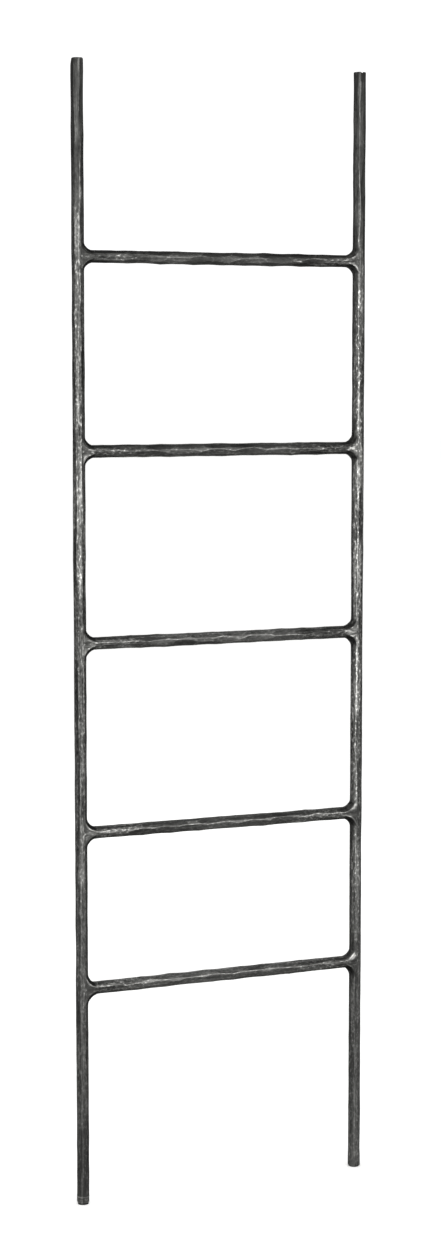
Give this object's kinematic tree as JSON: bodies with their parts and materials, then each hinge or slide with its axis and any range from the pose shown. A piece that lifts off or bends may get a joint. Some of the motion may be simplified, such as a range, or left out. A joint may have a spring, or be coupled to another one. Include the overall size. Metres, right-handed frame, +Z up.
{
  "type": "blanket ladder",
  "caption": "Leaning blanket ladder of hammered dark steel bar: two rails joined by rungs with smooth hollow welded corners, rubber floor pads and wall bumpers.",
  "frame": {"origin": "on the floor, midway between the two feet", "axes": "+X along the rungs from the left rail to the right rail, +Y back to the wall, +Z up the rails; the ladder stands upright"},
  "size_m": [0.509, 0.0225, 1.8288],
  "materials": {
    "hammered_steel": "satin",
    "dressed_weld": "satin",
    "rubber": "matte"
  },
  "bodies": {
    "root": {"left_rail": "hammered_steel", "right_rail": "hammered_steel", "rung_1": "hammered_steel", "rung_2": "hammered_steel", "rung_3": "hammered_steel", "rung_4": "hammered_steel", "rung_5": "hammered_steel", "weld_web_left_1": "dressed_weld", "weld_web_left_2": "dressed_weld", "weld_web_left_3": "dressed_weld", "weld_web_left_4": "dressed_weld", "weld_web_left_5": "dressed_weld", "weld_web_right_1": "dressed_weld", "weld_web_right_2": "dressed_weld", "weld_web_right_3": "dressed_weld", "weld_web_right_4": "dressed_weld", "weld_web_right_5": "dressed_weld", "left_foot_pad": "rubber", "right_foot_pad": "rubber", "left_wall_bumper": "rubber", "right_wall_bumper": "rubber"}
  },
  "joints": []
}
